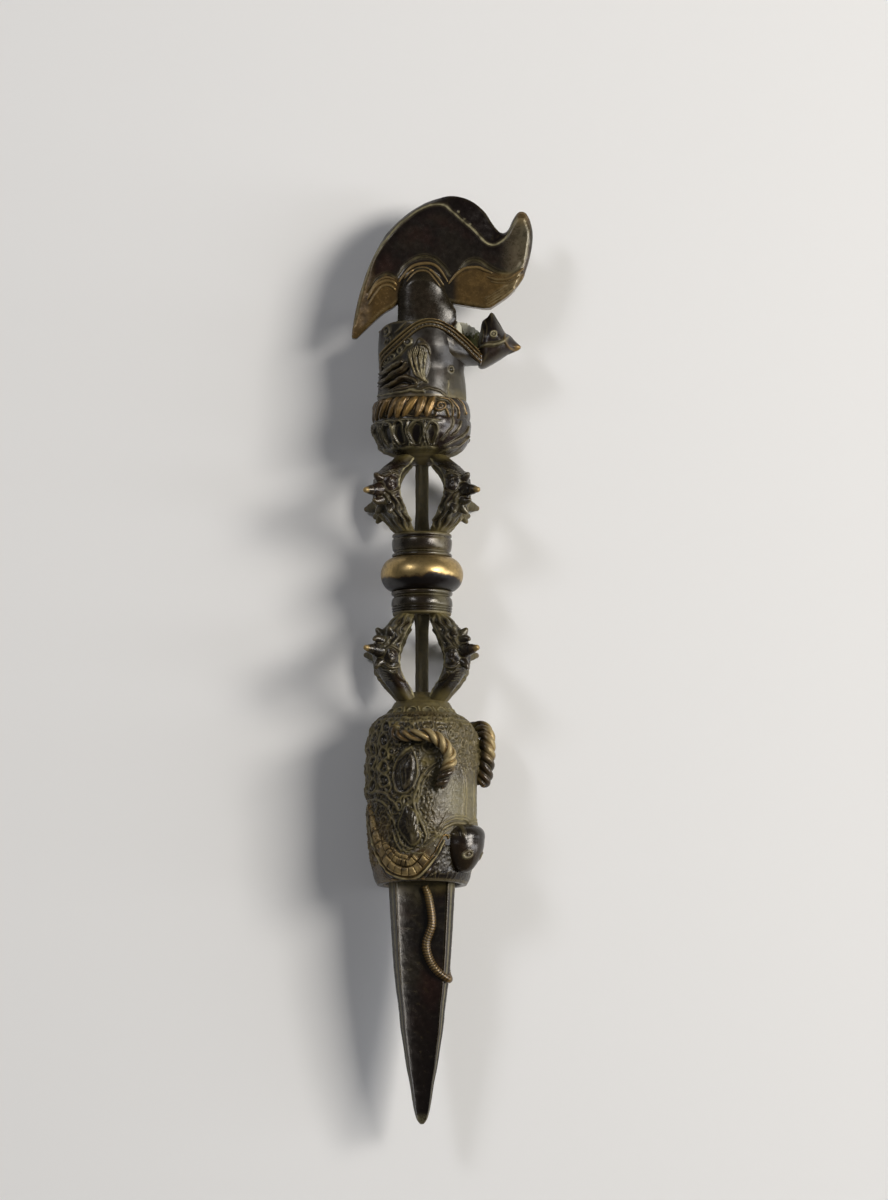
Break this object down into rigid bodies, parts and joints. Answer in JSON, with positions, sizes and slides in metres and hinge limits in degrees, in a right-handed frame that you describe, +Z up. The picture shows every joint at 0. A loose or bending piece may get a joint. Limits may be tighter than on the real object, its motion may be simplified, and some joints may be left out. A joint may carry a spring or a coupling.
{
  "type": "phurba",
  "caption": "Three-edged ritual dagger lying on its back: blade with a serpent, two sea-monster heads, a caged grip with a brass knob, and a crescent chopper as its finial.",
  "frame": {"origin": "middle of the bounding box on the surface that the dagger lies on", "axes": "+X to the beaked snout's side, +Y along the axis from the blade's tip to the crescent, +Z up, towards the side that the picture shows"},
  "size_m": [0.0578, 0.2966, 0.0416],
  "materials": {
    "dark_bronze": "dark patinated cast bronze",
    "worn_bronze": "bronze worn golden brown",
    "brass_knob": "polished brass, worn by the hand"
  },
  "bodies": {
    "root": {"blade": "dark_bronze", "serpent": "worn_bronze", "core_rod": "dark_bronze", "lower_head": "dark_bronze", "lower_jaw": "worn_bronze", "lower_snout": "dark_bronze", "lower_horn_left": "worn_bronze", "lower_horn_right": "worn_bronze", "lower_pin": "dark_bronze", "neck_ring": "dark_bronze", "lower_prong_front_left": "dark_bronze", "lower_prong_front_right": "dark_bronze", "lower_prong_back_left": "dark_bronze", "lower_prong_back_right": "dark_bronze", "lower_collar": "dark_bronze", "knob": "brass_knob", "upper_collar": "dark_bronze", "upper_prong_front_left": "dark_bronze", "upper_prong_front_right": "dark_bronze", "upper_prong_back_left": "dark_bronze", "upper_prong_back_right": "dark_bronze", "lotus_bulb": "dark_bronze", "hair_ring": "worn_bronze", "upper_head": "dark_bronze", "upper_lips": "dark_bronze", "upper_snout": "dark_bronze", "upper_pin": "dark_bronze", "chopper_stem": "dark_bronze", "chopper_crescent": "dark_bronze", "crescent_clouds": "worn_bronze"}
  },
  "joints": []
}
